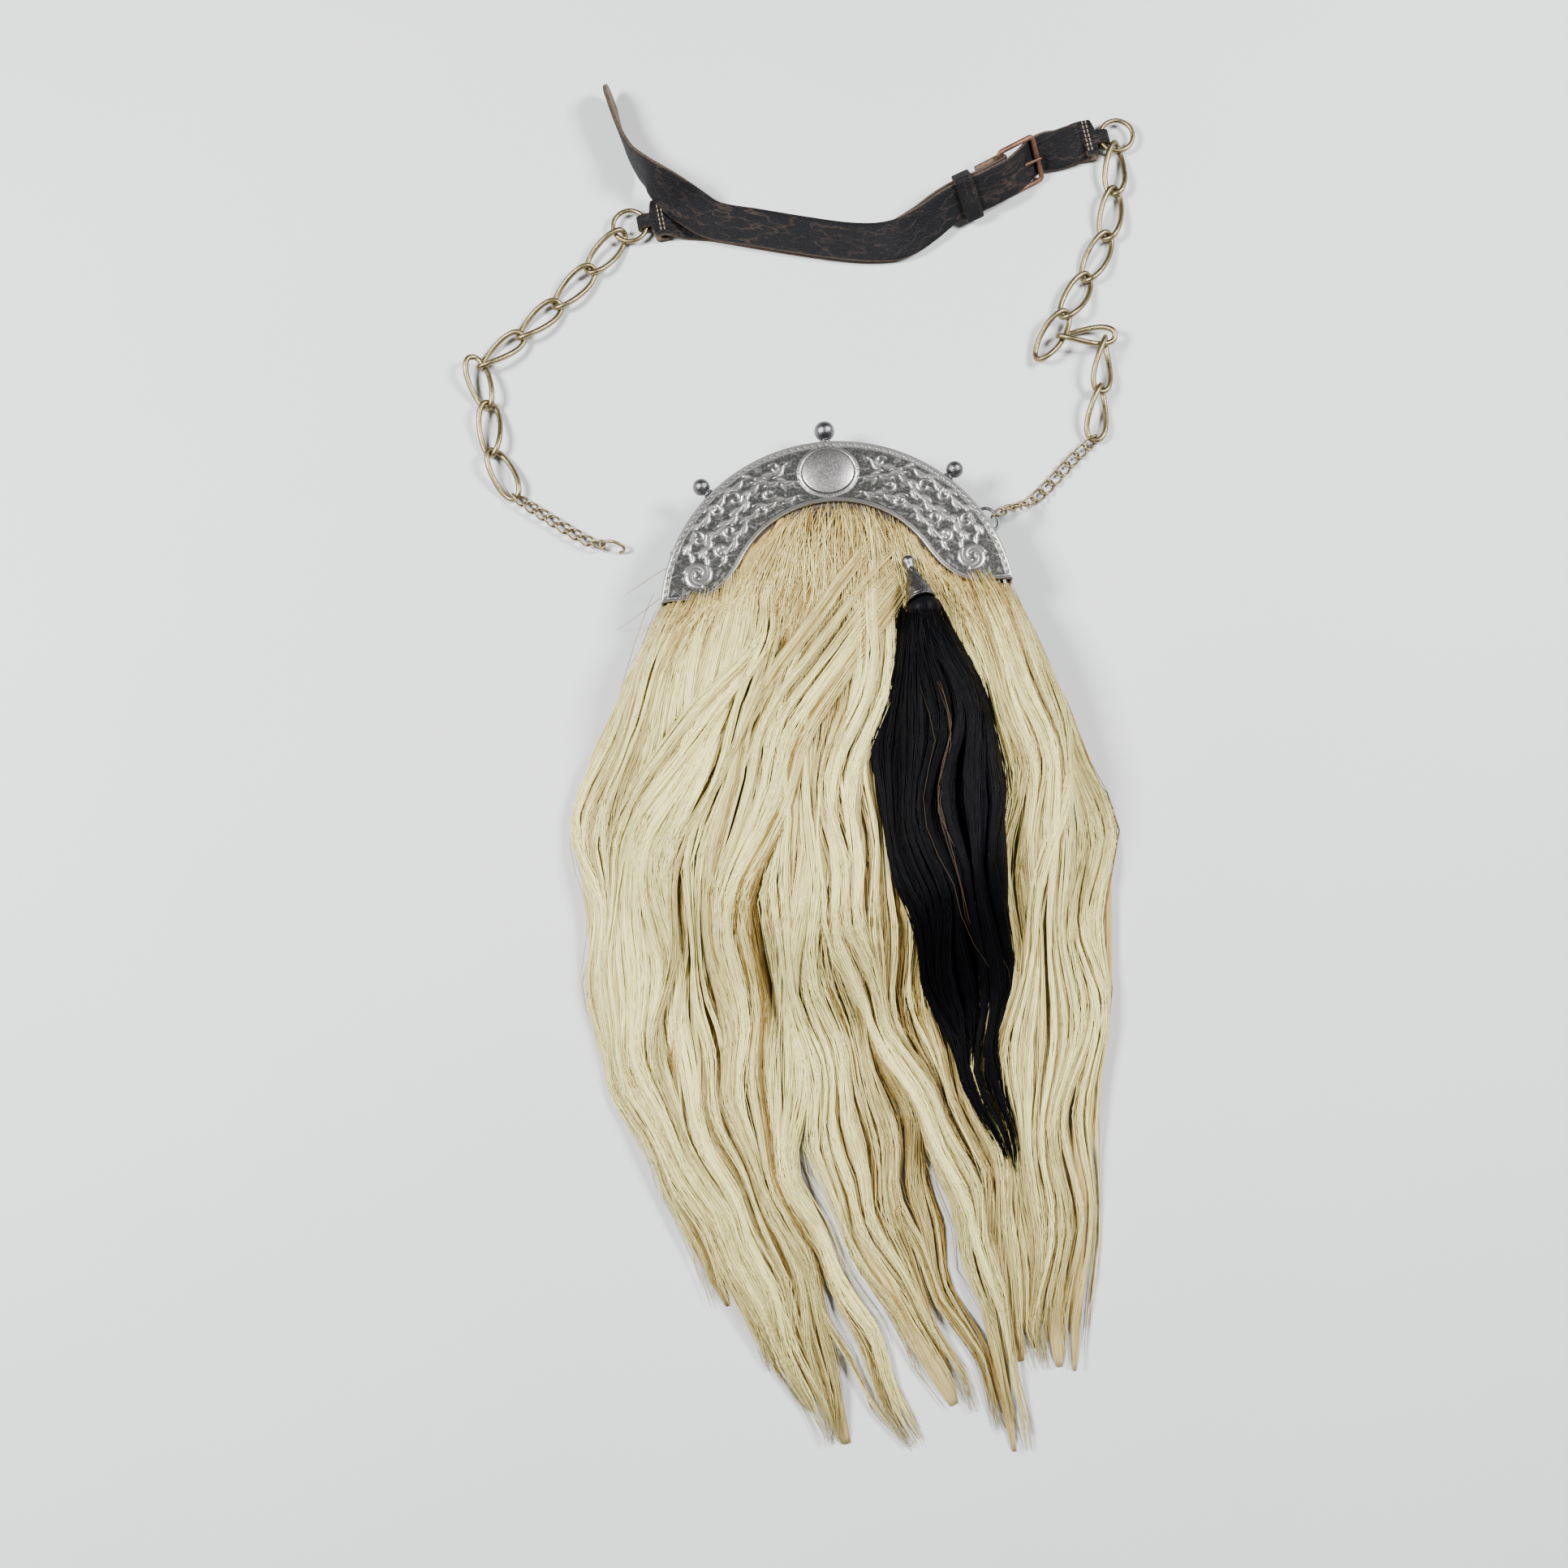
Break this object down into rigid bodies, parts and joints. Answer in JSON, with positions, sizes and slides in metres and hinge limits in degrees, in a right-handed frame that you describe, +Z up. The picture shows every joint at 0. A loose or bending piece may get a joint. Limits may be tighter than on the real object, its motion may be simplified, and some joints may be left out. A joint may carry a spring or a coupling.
{
  "type": "horsehair sporran pouch",
  "caption": "Dress sporran: arched metal cantle over a leather pouch with long horsehair, a hanging tassel, and a belt of twisted-link chain and buckled leather strap.",
  "frame": {"origin": "on the table under the pouch, in the back flap's back face on the part's middle line", "axes": "+Z up from the table on which it lies on its back, +Y from the hair's tips to the cantle's crown, +X to the side the chain is fixed to"},
  "size_m": [0.3494, 0.6843, 0.0504],
  "materials": {
    "cantle_silver": "antique cast silver with dark recesses",
    "medallion_silver": "polished",
    "dark_silver": "tarnished silver",
    "chain_metal": "worn plated brass",
    "buckle_bronze": "dull brown plating",
    "strap_leather": "black, cracked grain",
    "bag_leather": "dark brown, matte",
    "cream_hair": "long cream horsehair",
    "black_hair": "long black horsehair"
  },
  "bodies": {
    "root": {"cantle": "cantle_silver", "medallion": "medallion_silver", "finial_centre": "dark_silver", "finial_left": "dark_silver", "finial_right": "dark_silver", "loop_right": "dark_silver", "loop_left": "dark_silver", "pouch_body": "bag_leather", "back_flap": "bag_leather", "hair_front": "cream_hair", "tassel_cone": "dark_silver", "tassel_hair": "black_hair", "fine_link_right_1": "chain_metal", "fine_link_right_2": "chain_metal", "fine_link_right_3": "chain_metal", "fine_link_right_4": "chain_metal", "fine_link_right_5": "chain_metal", "fine_link_right_6": "chain_metal", "fine_link_right_7": "chain_metal", "fine_link_right_8": "chain_metal", "fine_link_right_9": "chain_metal", "fine_link_right_10": "chain_metal", "fine_link_right_11": "chain_metal", "fine_link_right_12": "chain_metal", "chain_link_right_1": "chain_metal", "chain_link_right_2": "chain_metal", "chain_link_right_3": "chain_metal", "chain_link_right_4": "chain_metal", "chain_link_right_5": "chain_metal", "chain_link_right_6": "chain_metal", "chain_link_right_7": "chain_metal", "chain_link_right_8": "chain_metal", "chain_link_left_1": "chain_metal", "chain_link_left_2": "chain_metal", "chain_link_left_3": "chain_metal", "chain_link_left_4": "chain_metal", "chain_link_left_5": "chain_metal", "chain_link_left_6": "chain_metal", "chain_link_left_7": "chain_metal", "fine_link_left_1": "chain_metal", "fine_link_left_2": "chain_metal", "fine_link_left_3": "chain_metal", "fine_link_left_4": "chain_metal", "fine_link_left_5": "chain_metal", "fine_link_left_6": "chain_metal", "fine_link_left_7": "chain_metal", "fine_link_left_8": "chain_metal", "end_hook": "chain_metal", "ring_right": "chain_metal", "ring_left": "chain_metal", "buckle_strap": "strap_leather", "long_strap": "strap_leather", "buckle_frame": "buckle_bronze", "buckle_prong": "buckle_bronze", "strap_keeper": "strap_leather"}
  },
  "joints": []
}
